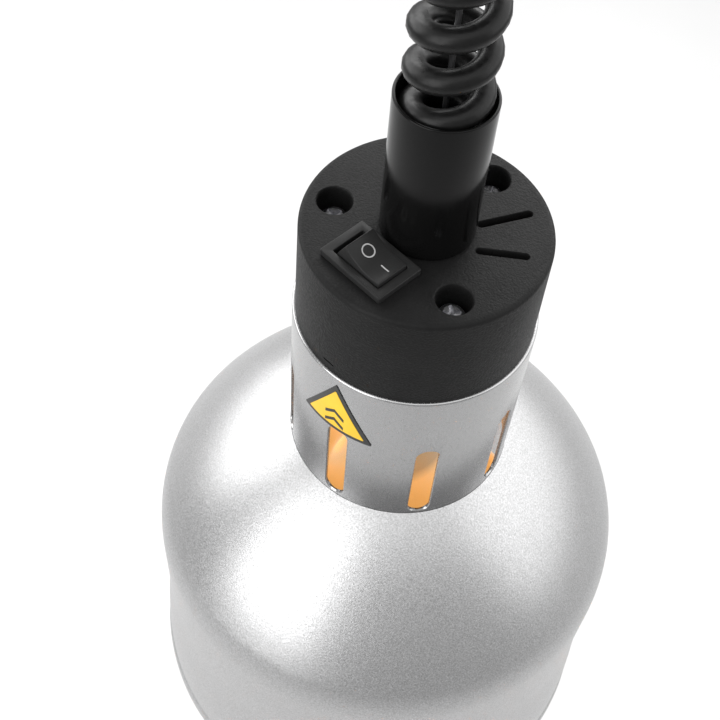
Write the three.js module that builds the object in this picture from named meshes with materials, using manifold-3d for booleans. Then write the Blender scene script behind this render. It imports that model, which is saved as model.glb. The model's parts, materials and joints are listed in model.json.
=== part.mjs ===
// Pendant heat lamp for keeping food warm: ceiling canopy with a spring reel, a curly cord round a
// steel wire, and a lamp head with a rocker switch, a vented collar and a domed shade.
// Millimetres, +Z up. The origin is the middle of the ceiling face, and everything hangs below it.
import * as THREE from "three";
import { mergeVertices } from "three/addons/utils/BufferGeometryUtils.js";
import Module from "manifold-3d";

const wasm = await Module();
wasm.setup();

// ---------------------------------------------------------------- driving dimensions
const GAP = 0.3; // between pieces that touch in the real object
const DEG = Math.PI / 180;

// ceiling canopy and bracket
const CANOPY_R = 60;
const CANOPY_H = 72;
const CANOPY_WALL = 1.5;
const CANOPY_EDGE_R = 9;
const BRACKET_T = 2;
const BRACKET_R = 50;
const EAR_W = 14;
const EAR_DROP = 22;
const SIDE_SCREW_DROP = 12;
const SIDE_SCREW_R = 2;

// spring reel that takes up the wire
const DRUM_R = 18; // radius of the wire's centreline on the drum
const DRUM_FLANGE_R = 22;
const DRUM_HALF_W = 9;
const DRUM_FLANGE_T = 1.5;
const REEL_CHEEK_T = 2;
const REEL_AXLE_R = 3;
const REEL_DEPTH = 34; // ceiling to drum axle

// swivel ball
const BALL_R = 16;
const BALL_BORE_R = 8.2;
const LINER_T = 1.2;
const BALL_CLEARANCE = 0.45; // between the ball, its liner and the socket
const BALL_SPOUT_L = 26; // pivot to the spout's mouth

// wire and cord
const WIRE_D = 1.5;
const CORD_D = 6.3;
const COIL_R = 8.55; // axis to the cord's centreline
const COIL_PITCH = 12;
const COIL_BOTTOM_ANGLE = -24 * DEG;
const COIL_TURNS = 17 - COIL_BOTTOM_ANGLE / (2 * Math.PI); // the top end lies on +X
const CORD_NECK_X = 4.7;
const CORD_TAIL_R = 6.3; // axis to the tail where it passes the spigot
const CORD_NECK_L = 14.4; // spout mouth to the start of the coil
const COIL_ABOVE_CAP = 21.7; // the cap's top face to the coil's lower end

// sleeve on the cap
const SLEEVE_CLEARANCE = 0.6; // the coil to the sleeve's bore
const SLEEVE_WALL = 0.9;
const SLEEVE_H = 46;
const SPIGOT_R = 11.4;
const SPIGOT_WALL = 1.5;
const SPIGOT_L = 9;
const SLEEVE_LEDGE_H = 3;

// cap
const CAP_R = 35;
const CAP_FOOT_R = 35.7;
const CAP_H = 33.5;
const CAP_WALL = 2.2;
const CAP_TOP_T = 2.6;
const CAP_EDGE_R = 1.6;
const CAP_SCREW_PITCH_R = 26.2;
const CAP_SCREW_WELL_R = 5;
const CAP_SCREW_WELL_DEPTH = 9.6;
const CAP_POST_R = 4; // the screws' posts, from the wells down to the plate
const CAP_SCREW_R = 2;
const VENT_W = 2.2;
const VENT_FAN_Y = -9.4;
const VENT_FAN_ANGLES = [40, 65, 115, 140];
const VENT_INNER_R = 21.5;
const VENT_LONG_R = 37.8; // the two vents beside the back screw
const VENT_SHORT_R = 34;

// rocker switch
const SWITCH_BEHIND = 0.6; // the sleeve to the switch's bezel
const BEZEL_L = 22.4;
const BEZEL_W = 15.4;
const BEZEL_H = 1.8;
const SWITCH_BODY_L = 19.3;
const SWITCH_BODY_W = 13.4;
const SWITCH_BODY_DEPTH = 14;
const ROCKER_L = 13.2; // along its face, end to end
const ROCKER_FOOT_L = 16; // where its ends go down into the bezel
const ROCKER_W = 10.2;
const ROCKER_END_H = 6.9; // pivot to the ends of its face
const ROCKER_MIDDLE_H = 5.3;
const ROCKER_TILT = 16 * DEG;
const ROCKER_PIVOT_DEPTH = 1.5;

// collar
const COLLAR_R = 36.3;
const COLLAR_WALL = 1;
const COLLAR_LENGTH = 63; // cap foot to the shade
const COLLAR_VENTS = 8;
const COLLAR_VENT_PHASE = -35 * DEG;
const COLLAR_VENT_W = 6.8;
const COLLAR_VENT_H = 36;
const COLLAR_FLANGE_R = 41.5;
const PLATE_T = 1.6;

// shade
const SHADE_DOME_H = 51.5;
const SHADE_R = 83.8;
const SHADE_BULGE = 5;
const SHADE_EDGE_R = 9; // round between dome and skirt
const SHADE_FLARE = 3.1; // how much wider the mouth is than the skirt
const SHADE_BEAD = 0.9;
const SHADE_BEAD_H = 8;
const SHADE_H = 153.5;
const SHADE_WALL = 0.8;

// lamp holder and bulb
const HOLDER_R = 19.5;
const HOLDER_BORE_R = 14.6;
const HOLDER_H = 47;
const HOLDER_BORE_DEPTH = 30;
const SOCKET_SHELL_T = 0.7;
const BULB_BASE_R = 13.1;
const BULB_BASE_L = 23;
const BULB_NECK_R = 15;
const BULB_R = 62.5;
const BULB_GLASS_L = 147;
const BULB_WALL = 1.1;

// label on the collar
const LABEL_SIDE = 26;
const LABEL_T = 0.25;
const LABEL_ANGLE = -82.2 * DEG;
const LABEL_TOP_DROP = 1.9; // cap foot to the triangle's apex

// ---------------------------------------------------------------- levels worked out from them
const pivotZ = -CANOPY_H + 3.7;
const coilTopZ = pivotZ - BALL_SPOUT_L - CORD_NECK_L;
const coilBottomZ = coilTopZ - COIL_TURNS * COIL_PITCH;
const capZ = coilBottomZ - COIL_ABOVE_CAP; // top face of the cap
const capFootZ = capZ - CAP_H;
const collarTopZ = capFootZ - GAP;
const collarFootZ = capFootZ - COLLAR_LENGTH; // where the collar meets the shade
const plateZ = collarTopZ - COLLAR_WALL - GAP; // top of the plate under the collar's lip
const holderTopZ = plateZ - PLATE_T - GAP;
const holderFootZ = holderTopZ - HOLDER_H;
const glassTopZ = holderFootZ - 0.8;
const shadeFootZ = collarFootZ - SHADE_H;
const rockerZ = capZ - ROCKER_PIVOT_DEPTH;
const sleeveR = COIL_R + CORD_D / 2 + SLEEVE_CLEARANCE + SLEEVE_WALL;
const switchY = -(sleeveR + SWITCH_BEHIND + BEZEL_W / 2);
const drumX = -DRUM_R;
const drumZ = -REEL_DEPTH;

// ---------------------------------------------------------------- materials
const paint = (color, roughness, metalness) =>
  new THREE.MeshStandardMaterial({ color, roughness, metalness });
const silverPaint = paint(0xc4c5c6, 0.35, 0.6);
const blackPlastic = paint(0x2b2c2e, 0.65, 0);
const glossBlack = paint(0x0c0c0d, 0.15, 0);
const steel = paint(0x9a9da0, 0.4, 0.9);
const brass = paint(0xb99a52, 0.35, 0.9);
const cordBlack = paint(0x141416, 0.4, 0);
const ceramic = paint(0xe8e6df, 0.3, 0);
const glass = paint(0xe9c8a0, 0.1, 0);
const labelYellow = paint(0xf2c51a, 0.4, 0);

// ---------------------------------------------------------------- solids
// A closed three.js geometry as a manifold-3d solid.
function solid(geometry) {
  const bare = geometry.clone();
  bare.deleteAttribute("normal");
  bare.deleteAttribute("uv");
  const merged = mergeVertices(bare, 1e-4);
  return new wasm.Manifold(
    new wasm.Mesh({
      numProp: 3,
      vertProperties: merged.attributes.position.array,
      triVerts: new Uint32Array(merged.index.array),
    }),
  );
}

function geometryOf(body) {
  const mesh = body.getMesh();
  const geometry = new THREE.BufferGeometry();
  geometry.setAttribute("position", new THREE.BufferAttribute(mesh.vertProperties, 3));
  geometry.setIndex(new THREE.BufferAttribute(mesh.triVerts, 1));
  geometry.computeVertexNormals();
  return geometry;
}

// Signed area of an outline of [radius, height] points.
function outlineArea(points) {
  return points.reduce((sum, [x, y], i) => {
    const [nextX, nextY] = points[(i + 1) % points.length];
    return sum + (x * nextY - nextX * y) / 2;
  }, 0);
}

// A turned solid about the Z axis; an outline off the axis makes a ring.
function turned(outline, segments = 32) {
  const points = outlineArea(outline) > 0 ? [...outline] : [...outline].reverse();
  const onAxis = points.filter(([r]) => r === 0).length > 0;
  if (onAxis) {
    while (points[0][0] !== 0 || points[points.length - 1][0] !== 0) points.push(points.shift());
  } else {
    points.push(points[0]);
  }
  const profile = points.map(([r, z]) => new THREE.Vector2(r, z));
  return solid(new THREE.LatheGeometry(profile, segments).rotateX(Math.PI / 2));
}

function rod(r, z0, z1, x = 0, y = 0, segments = 16) {
  const geometry = new THREE.CylinderGeometry(r, r, Math.abs(z1 - z0), segments);
  return solid(geometry.rotateX(Math.PI / 2).translate(x, y, (z0 + z1) / 2));
}

function ring(inner, outer, z0, z1, segments = 32) {
  return turned([[inner, z0], [outer, z0], [outer, z1], [inner, z1]], segments);
}

function block(w, d, h, x, y, z) {
  return solid(new THREE.BoxGeometry(w, d, h).translate(x, y, z));
}

// A cylinder along Y, for axles and trunnions.
function rodAlongY(r, y0, y1, x, z, segments = 16) {
  const geometry = new THREE.CylinderGeometry(r, r, Math.abs(y1 - y0), segments);
  return solid(geometry.translate(x, (y0 + y1) / 2, z));
}

// A cylinder along X.
function rodAlongX(r, x0, x1, z, segments = 12) {
  const geometry = new THREE.CylinderGeometry(r, r, Math.abs(x1 - x0), segments);
  return solid(geometry.rotateZ(Math.PI / 2).translate((x0 + x1) / 2, 0, z));
}

// A long hole with round ends, standing on the XY plane from z0 to z1, its length along X.
function longHole(length, width, z0, z1) {
  const half = (length - width) / 2;
  const shape = new THREE.Shape();
  shape.absarc(half, 0, width / 2, -Math.PI / 2, Math.PI / 2, false);
  shape.absarc(-half, 0, width / 2, Math.PI / 2, 1.5 * Math.PI, false);
  const geometry = new THREE.ExtrudeGeometry(shape, {
    depth: z1 - z0,
    bevelEnabled: false,
    curveSegments: 4,
  });
  return geometry.translate(0, 0, z0);
}

// A round tube along a smooth line through the points.
function tube(points, diameter, steps, sides = 8) {
  const shape = new THREE.Shape();
  shape.absarc(0, 0, diameter / 2, 0, 2 * Math.PI, false);
  const path = new THREE.CatmullRomCurve3(points.map((p) => new THREE.Vector3(...p)));
  return new THREE.ExtrudeGeometry(shape, {
    steps,
    curveSegments: sides / 2,
    extrudePath: path,
  });
}

// Points of an arc about (x, z) in the turned outline's plane, angles in degrees.
function arc(x, z, r, from, to, count) {
  const points = [];
  for (let i = 0; i <= count; i++) {
    const a = (from + ((to - from) * i) / count) * DEG;
    points.push([x + r * Math.cos(a), z + r * Math.sin(a)]);
  }
  return points;
}

const group = new THREE.Group();

function add(name, body, material) {
  const geometry = body.isBufferGeometry ? body : geometryOf(body);
  const mesh = new THREE.Mesh(geometry, material);
  mesh.name = name;
  group.add(mesh);
}

// ---------------------------------------------------------------- ceiling canopy
function addBracket() {
  const innerR = CANOPY_R - CANOPY_WALL;
  const earX = innerR - 2.5 - BRACKET_T / 2;
  let bracket = rod(BRACKET_R, -BRACKET_T, 0, 0, 0, 40);
  bracket = bracket.add(block(2 * earX + BRACKET_T, EAR_W, BRACKET_T, 0, 0, -BRACKET_T / 2));
  for (const side of [-1, 1]) {
    bracket = bracket.add(block(BRACKET_T, EAR_W, EAR_DROP, side * earX, 0, -EAR_DROP / 2));
    const keyhole = longHole(14, 5.4, -BRACKET_T - 1, 1).rotateZ(Math.PI / 2);
    bracket = bracket.subtract(solid(keyhole.translate(0, side * 35, 0)));
  }
  const screwHole = rodAlongX(SIDE_SCREW_R + GAP, -CANOPY_R, CANOPY_R, -SIDE_SCREW_DROP);
  bracket = bracket.subtract(screwHole);
  add("ceiling_bracket", bracket, steel);
  for (const [i, side] of [-1, 1].entries()) {
    const tip = side * (earX - BRACKET_T - 2);
    const face = side * (CANOPY_R + GAP);
    const shank = rodAlongX(SIDE_SCREW_R, tip, face, -SIDE_SCREW_DROP);
    const head = rodAlongX(4.6, face, face + side * 4, -SIDE_SCREW_DROP, 16);
    add(`canopy_screw_${i + 1}`, shank.add(head), steel);
  }
}

function addCanopy() {
  const outerEdge = arc(CANOPY_R - CANOPY_EDGE_R, -CANOPY_H + CANOPY_EDGE_R, CANOPY_EDGE_R, -90, 0, 3);
  const innerR = CANOPY_EDGE_R - CANOPY_WALL;
  const innerEdge = arc(CANOPY_R - CANOPY_EDGE_R, -CANOPY_H + CANOPY_EDGE_R, innerR, 0, -90, 3);
  const holeR = BALL_R + LINER_T + 3.1;
  const rimZ = -0.5;
  let canopy = turned(
    [
      [holeR, -CANOPY_H],
      ...outerEdge,
      [CANOPY_R, rimZ],
      [CANOPY_R - CANOPY_WALL, rimZ],
      ...innerEdge,
      [holeR, -CANOPY_H + CANOPY_WALL],
    ],
    32,
  );
  const screwHole = rodAlongX(SIDE_SCREW_R + GAP, -CANOPY_R - 5, CANOPY_R + 5, -SIDE_SCREW_DROP);
  canopy = canopy.subtract(screwHole);
  add("canopy", canopy, glossBlack);
}

function addReel() {
  const webZ = -BRACKET_T - GAP;
  const cheekY = DRUM_HALF_W + 3 + REEL_CHEEK_T / 2;
  const cheekFoot = drumZ - 16;
  let frame = block(46, 2 * cheekY + REEL_CHEEK_T, REEL_CHEEK_T, drumX, 0, webZ - REEL_CHEEK_T / 2);
  for (const side of [-1, 1]) {
    const cheekH = webZ - cheekFoot;
    frame = frame.add(block(32, REEL_CHEEK_T, cheekH, drumX, side * cheekY, webZ - cheekH / 2));
  }
  const outer = cheekY + REEL_CHEEK_T / 2;
  const axleHole = rodAlongY(REEL_AXLE_R + GAP, -outer - 2, outer + 2, drumX, drumZ);
  add("reel_frame", frame.subtract(axleHole), steel);
  add("reel_axle", rodAlongY(REEL_AXLE_R, -outer - 1, outer, drumX, drumZ), steel);

  const barrelR = DRUM_R - WIRE_D / 2 - GAP;
  const barrel = rodAlongY(barrelR, -DRUM_HALF_W, DRUM_HALF_W, drumX, drumZ, 24);
  const inner = DRUM_HALF_W - DRUM_FLANGE_T;
  const flangeA = rodAlongY(DRUM_FLANGE_R, inner, DRUM_HALF_W, drumX, drumZ, 24);
  const flangeB = rodAlongY(DRUM_FLANGE_R, -DRUM_HALF_W, -inner, drumX, drumZ, 24);
  const bore = rodAlongY(REEL_AXLE_R + GAP, -DRUM_HALF_W - 1, DRUM_HALF_W + 1, drumX, drumZ);
  add("reel_drum", barrel.add(flangeA).add(flangeB).subtract(bore), blackPlastic);

  const turnsOuter = rodAlongY(DRUM_R + WIRE_D / 2, -inner + GAP, inner - GAP, drumX, drumZ, 24);
  const turnsInner = rodAlongY(DRUM_R - WIRE_D / 2, -inner, inner, drumX, drumZ, 24);
  add("reel_wire_turns", turnsOuter.subtract(turnsInner), steel);
  add("reel_spring_case", rodAlongY(19, outer + GAP, outer + 8, drumX, drumZ, 28), blackPlastic);

  const clearOfTurns = drumZ - 9; // the wire leaves the drum's turns here
  add("reel_wire", rod(WIRE_D / 2, pivotZ + 11.2, clearOfTurns, 0, 0, 12), steel);
}

function addTerminals() {
  const top = -BRACKET_T - GAP;
  add("ceiling_terminal_block", block(28, 15, 14, 31, 0, top - 7), ceramic);
  const foot = top - 14 - GAP;
  const end = pivotZ + 13.2; // clear of the ball when it is tilted
  const route = [
    [30, 0, foot],
    [30, 0, foot - 7],
    [23, 0, foot - 21],
    [11, 0, foot - 31],
    [CORD_NECK_X, 0, end + 4],
    [CORD_NECK_X, 0, end],
  ];
  add("cord_tail_upper", tube(route, CORD_D, 11), cordBlack);
}

// A ring between two radii of a sphere about the pivot, from one height to another.
function sphereZone(inner, outer, low, high, segments) {
  const at = (r, h) => Math.asin(h / r) / DEG;
  return turned(
    [
      ...arc(0, pivotZ, outer, at(outer, low), at(outer, high), 5),
      ...arc(0, pivotZ, inner, at(inner, high), at(inner, low), 5),
    ],
    segments,
  );
}

function addSwivel() {
  const socketR = BALL_R + LINER_T + 2 * BALL_CLEARANCE;
  const at = (h) => Math.asin(h / socketR) / DEG;
  const spigotR = BALL_R + LINER_T + 2.8;
  const flangeR = spigotR + 4.5;
  const plateFoot = -CANOPY_H - GAP;
  add(
    "canopy_gland",
    turned(
      [
        ...arc(0, pivotZ, socketR, at(8), at(-10.5), 6),
        [flangeR - 2, pivotZ - 10.5],
        [flangeR, pivotZ - 8.5],
        [flangeR, plateFoot],
        [spigotR, plateFoot],
        [spigotR, pivotZ + 8],
      ],
      28,
    ),
    blackPlastic,
  );
  const linerR = BALL_R + BALL_CLEARANCE;
  const nutFoot = -CANOPY_H + CANOPY_WALL + GAP;
  add("gland_nut", ring(spigotR + GAP, spigotR + 6, nutFoot, nutFoot + 5, 24), blackPlastic);
  add("swivel_liner", sphereZone(linerR, linerR + LINER_T, -9.5, 7.5, 24), ceramic);

  const zone = 10;
  const spoutR = 11.2;
  const ballFrom = Math.asin(-zone / BALL_R) / DEG;
  add(
    "swivel_ball",
    turned(
      [
        [BALL_BORE_R, pivotZ - BALL_SPOUT_L],
        [spoutR - 1, pivotZ - BALL_SPOUT_L],
        [spoutR, pivotZ - zone - 1],
        ...arc(0, pivotZ, BALL_R, ballFrom, -ballFrom, 6),
        [BALL_BORE_R, pivotZ + zone],
      ],
      24,
    ),
    glossBlack,
  );
}

// ---------------------------------------------------------------- wire and curly cord
function addSuspension() {
  const start = pivotZ + 10;
  const wireFoot = capZ + 2.7;
  add("suspension_wire", rod(WIRE_D / 2, wireFoot, start, 0, 0, 12), steel);
  const neck = [
    [CORD_NECK_X, 0, start],
    [CORD_NECK_X, 0, start - 18],
    [CORD_NECK_X, 0, pivotZ - BALL_SPOUT_L + 1],
    [COIL_R - 0.6, 0, coilTopZ - CORD_D / 2 + 1.2],
  ];
  add("cord_neck", tube(neck, CORD_D, 10), cordBlack);
  const inner = COIL_R - CORD_D / 2;
  const outer = COIL_R + CORD_D / 2;
  const top = coilTopZ - CORD_D / 2;
  add("curly_cord", ring(inner, outer, coilBottomZ, top, 24), cordBlack);
}

// The cord's lower tail drops from the coil through the anchor plate into the cap.
function addLowerTail() {
  const c = Math.cos(COIL_BOTTOM_ANGLE);
  const s = Math.sin(COIL_BOTTOM_ANGLE);
  const route = [
    [COIL_R - 0.4, coilBottomZ - GAP],
    [7.8, capZ + 17],
    [CORD_TAIL_R + 0.3, capZ + SLEEVE_LEDGE_H + 6],
    [CORD_TAIL_R, capZ],
    [CORD_TAIL_R, capZ - 14],
  ].map(([r, z]) => [r * c, r * s, z]);
  add("cord_tail_lower", tube(route, CORD_D, 11), cordBlack);
}

function addAnchor() {
  const boreR = sleeveR - SLEEVE_WALL;
  const foot = capZ + SLEEVE_LEDGE_H + GAP;
  const x = CORD_TAIL_R * Math.cos(COIL_BOTTOM_ANGLE);
  const y = CORD_TAIL_R * Math.sin(COIL_BOTTOM_ANGLE);
  const plate = rod(boreR - GAP, foot, foot + 2.2, 0, 0, 24);
  const wireHole = rod(WIRE_D / 2 + GAP, foot - 1, foot + 4, 0, 0, 10);
  const cordHole = rod(CORD_D / 2 + 2 * GAP, foot - 1, foot + 4, x, y);
  add("wire_anchor_plate", plate.subtract(wireHole).subtract(cordHole), steel);
  add("wire_ferrule", rod(2, capZ - 4, capZ + 2.4, 0, 0, 16), brass);
}

// ---------------------------------------------------------------- sleeve and cap
function addSleeve() {
  const boreR = sleeveR - SLEEVE_WALL;
  const spigotBore = SPIGOT_R - SPIGOT_WALL;
  const foot = capZ + GAP;
  const top = capZ + SLEEVE_H;
  add(
    "cord_sleeve",
    turned(
      [
        [spigotBore, capZ - SPIGOT_L],
        [SPIGOT_R, capZ - SPIGOT_L],
        [SPIGOT_R, foot],
        [sleeveR, foot],
        [sleeveR, top - 0.4],
        [sleeveR - 0.3, top],
        [boreR, top],
        [boreR, capZ + SLEEVE_LEDGE_H],
        [spigotBore, capZ + SLEEVE_LEDGE_H],
      ],
      32,
    ),
    glossBlack,
  );
  const nutTop = capZ - CAP_TOP_T - GAP;
  add("sleeve_nut", ring(SPIGOT_R + GAP, SPIGOT_R + 2.9, nutTop - 4, nutTop, 24), brass);
}

const capScrewPlaces = [90, 210, 330].map((a) => [
  CAP_SCREW_PITCH_R * Math.cos(a * DEG),
  CAP_SCREW_PITCH_R * Math.sin(a * DEG),
]);

function addCap() {
  const innerTop = capZ - CAP_TOP_T;
  const edge = arc(CAP_R - CAP_EDGE_R, capZ - CAP_EDGE_R, CAP_EDGE_R, 0, 90, 3);
  const holeR = SPIGOT_R + GAP;
  let cap = turned(
    [
      [holeR, innerTop],
      [CAP_R - CAP_WALL, innerTop],
      [CAP_FOOT_R - CAP_WALL, capFootZ],
      [CAP_FOOT_R, capFootZ],
      ...edge,
      [holeR, capZ],
    ],
    40,
  );
  const wellFloor = capZ - CAP_SCREW_WELL_DEPTH;
  for (const [x, y] of capScrewPlaces) {
    cap = cap.add(rod(CAP_SCREW_WELL_R + 1.6, wellFloor - 3, innerTop + 1, x, y, 16));
    cap = cap.add(rod(CAP_POST_R, plateZ + GAP, wellFloor - 2, x, y, 16));
    cap = cap.subtract(rod(CAP_SCREW_WELL_R, wellFloor, capZ + 1, x, y, 20));
    cap = cap.subtract(rod(CAP_SCREW_R + GAP, plateZ, wellFloor + 1, x, y, 12));
  }
  for (const angle of VENT_FAN_ANGLES) {
    const long = angle === 65 || angle === 115;
    const far = long ? VENT_LONG_R : VENT_SHORT_R;
    const near = long ? VENT_INNER_R : VENT_INNER_R - 2;
    const vent = longHole(far - near, VENT_W, capZ - CAP_TOP_T - 2, capZ + 1);
    vent.translate((far + near) / 2, 0, 0).rotateZ(angle * DEG).translate(0, VENT_FAN_Y, 0);
    cap = cap.subtract(solid(vent));
  }
  const cutL = SWITCH_BODY_L + 2 * GAP;
  const cutW = SWITCH_BODY_W + 2 * GAP;
  cap = cap.subtract(block(cutL, cutW, 3 * CAP_TOP_T, 0, switchY, capZ));
  add("cap", cap, blackPlastic);

  for (const [i, [x, y]] of capScrewPlaces.entries()) {
    const seat = wellFloor + GAP;
    const head = rod(3.9, seat, seat + 2.6, x, y, 16);
    const shank = rod(CAP_SCREW_R, plateZ - PLATE_T - 1, seat + 1, x, y, 12);
    const slotA = block(4.6, 1, 1.4, x, y, seat + 2.6);
    const slotB = block(1, 4.6, 1.4, x, y, seat + 2.6);
    add(`cap_screw_${i + 1}`, head.add(shank).subtract(slotA).subtract(slotB), steel);
  }
}

// ---------------------------------------------------------------- rocker switch
function addSwitch() {
  const bezelFoot = capZ + GAP;
  const cavityL = SWITCH_BODY_L - 1;
  const cavityW = SWITCH_BODY_W - 1.2;
  const bodyFoot = capZ - SWITCH_BODY_DEPTH;
  const floor = bodyFoot + 1.5;
  const bezel = block(BEZEL_L, BEZEL_W, BEZEL_H, 0, switchY, bezelFoot + BEZEL_H / 2);
  const bodyH = bezelFoot + 1 - bodyFoot;
  const body = block(SWITCH_BODY_L, SWITCH_BODY_W, bodyH, 0, switchY, bodyFoot + bodyH / 2);
  const cavityTop = bezelFoot;
  const cavityH = cavityTop - floor;
  const cavity = block(cavityL, cavityW, cavityH, 0, switchY, floor + cavityH / 2);
  const opening = block(ROCKER_FOOT_L + 1, ROCKER_W + 0.7, 4 * BEZEL_H, 0, switchY, bezelFoot);
  const trunnionHalf = SWITCH_BODY_W / 2 - 0.15;
  const trunnionHole = rodAlongY(1.5, switchY - BEZEL_W, switchY + BEZEL_W, 0, rockerZ, 16);
  const holes = cavity.add(opening).add(trunnionHole);
  add("switch_housing", bezel.add(body).subtract(holes), glossBlack);

  const half = ROCKER_L / 2;
  const foot = ROCKER_FOOT_L / 2;
  const shape = new THREE.Shape();
  shape.moveTo(-foot, 1);
  shape.absarc(0, 0, 6.5, 200 * DEG, 340 * DEG, false);
  shape.lineTo(foot, 1);
  shape.lineTo(half, ROCKER_END_H);
  shape.quadraticCurveTo(half / 2, ROCKER_MIDDLE_H, 0, ROCKER_MIDDLE_H);
  shape.quadraticCurveTo(-half / 2, ROCKER_MIDDLE_H, -half, ROCKER_END_H);
  const paddle = new THREE.ExtrudeGeometry(shape, {
    depth: ROCKER_W,
    bevelEnabled: false,
    curveSegments: 10,
  });
  paddle.translate(0, 0, -ROCKER_W / 2).rotateX(Math.PI / 2);
  paddle.rotateY(ROCKER_TILT).translate(0, switchY, rockerZ);
  const trunnion = rodAlongY(1.2, switchY - trunnionHalf, switchY + trunnionHalf, 0, rockerZ, 16);
  add("switch_rocker", solid(paddle).add(trunnion), glossBlack);

  for (const [i, x] of [-5, 5].entries()) {
    const blade = block(4.8, 0.8, 9, x, switchY, bodyFoot - GAP - 4.5);
    add(`switch_terminal_${i + 1}`, blade, brass);
  }
}

// ---------------------------------------------------------------- leads inside the cap
const leadHoles = [
  [-8, -9],
  [8, 9],
];

function addLeads() {
  const d = 2.2;
  const c = Math.cos(COIL_BOTTOM_ANGLE);
  const s = Math.sin(COIL_BOTTOM_ANGLE);
  const start = capZ - 14 - 3 * GAP;
  const blade = capZ - SWITCH_BODY_DEPTH - GAP - 9 - GAP - d / 2;
  const holder = holderTopZ + GAP;
  const core = (a) => [
    CORD_TAIL_R * c + 1.6 * Math.cos(a * DEG),
    CORD_TAIL_R * s + 1.6 * Math.sin(a * DEG),
  ];
  const live = [
    [...core(-90), start],
    [6, -9, start - 10],
    [5.5, -17, blade - 3],
    [5, switchY, blade],
  ];
  const switched = [
    [-5, switchY, blade],
    [-6, -17.5, blade - 4],
    [-8, -11, plateZ + 3],
    [...leadHoles[0], plateZ],
    [...leadHoles[0], holder],
  ];
  const neutral = [
    [...core(30), start],
    [8.5, 3, start - 9],
    [8, 8, start - 15],
    [...leadHoles[1], plateZ],
    [...leadHoles[1], holder],
  ];
  const earth = [
    [...core(150), start],
    [3, 4, start - 8],
    [1, 9, start - 14],
    [0, 11, plateZ + 1.6],
  ];
  add("lead_live", tube(live, d, 8, 6), paint(0x7a4a2a, 0.5, 0));
  add("lead_switched", tube(switched, d, 10, 6), paint(0x7a4a2a, 0.5, 0));
  add("lead_neutral", tube(neutral, d, 10, 6), paint(0x2a5aa8, 0.5, 0));
  add("lead_earth", tube(earth, d, 8, 6), paint(0x4a9a3a, 0.5, 0));
}

// ---------------------------------------------------------------- plate, collar and shade
const holderScrewX = 12;
const earthScrewY = 15.5;

function addPlate() {
  const plateR = COLLAR_R - COLLAR_WALL - GAP;
  let plate = rod(plateR, plateZ - PLATE_T, plateZ, 0, 0, 40);
  const hole = (r, x, y) => {
    plate = plate.subtract(rod(r, plateZ - PLATE_T - 1, plateZ + 1, x, y, 12));
  };
  capScrewPlaces.forEach(([x, y]) => hole(CAP_SCREW_R + GAP, x, y));
  leadHoles.forEach(([x, y]) => hole(1.1 + 2 * GAP, x, y));
  [-1, 1].forEach((side) => hole(1.8 + GAP, side * holderScrewX, 0));
  hole(1.5 + GAP, 0, earthScrewY);
  for (let i = 0; i < 3; i++) {
    const a = (30 + i * 120) * DEG;
    hole(3, 27 * Math.cos(a), 27 * Math.sin(a));
  }
  add("holder_plate", plate, steel);
  for (const [i, side] of [-1, 1].entries()) {
    const x = side * holderScrewX;
    const head = rod(3.4, plateZ + GAP, plateZ + 2.7, x, 0, 20);
    const shank = rod(1.8, holderTopZ - 6, plateZ + 1, x, 0, 16);
    add(`holder_screw_${i + 1}`, head.add(shank), steel);
  }
  const earthHead = rod(3, plateZ + GAP, plateZ + 2.3, 0, earthScrewY, 20);
  const earthShank = rod(1.5, plateZ - PLATE_T - 0.1, plateZ + 1, 0, earthScrewY, 16);
  add("earth_screw", earthHead.add(earthShank), brass);
}

function addCollar() {
  const innerR = COLLAR_R - COLLAR_WALL;
  const lipR = innerR - 3.6;
  const flangeDrop = (COLLAR_FLANGE_R - COLLAR_R) * 0.62;
  const flangeTop = collarFootZ - 1.7;
  let collar = turned(
    [
      [COLLAR_R, collarTopZ],
      [lipR, collarTopZ],
      [lipR, collarTopZ - COLLAR_WALL],
      [innerR, collarTopZ - COLLAR_WALL],
      [innerR, flangeTop - 1.2],
      [COLLAR_FLANGE_R - 0.4, flangeTop - flangeDrop - 1.2],
      [COLLAR_FLANGE_R, flangeTop - flangeDrop],
      [COLLAR_R, flangeTop],
    ],
    48,
  );
  const ventTop = collarFootZ + 1.2 + COLLAR_VENT_H;
  for (let i = 0; i < COLLAR_VENTS; i++) {
    const vent = longHole(COLLAR_VENT_H, COLLAR_VENT_W, COLLAR_R - 6, COLLAR_R + 6);
    vent.rotateY(Math.PI / 2).translate(0, 0, ventTop - COLLAR_VENT_H / 2);
    vent.rotateZ(COLLAR_VENT_PHASE + (i * 2 * Math.PI) / COLLAR_VENTS);
    collar = collar.subtract(solid(vent));
  }
  add("collar", collar, silverPaint);
}

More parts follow.
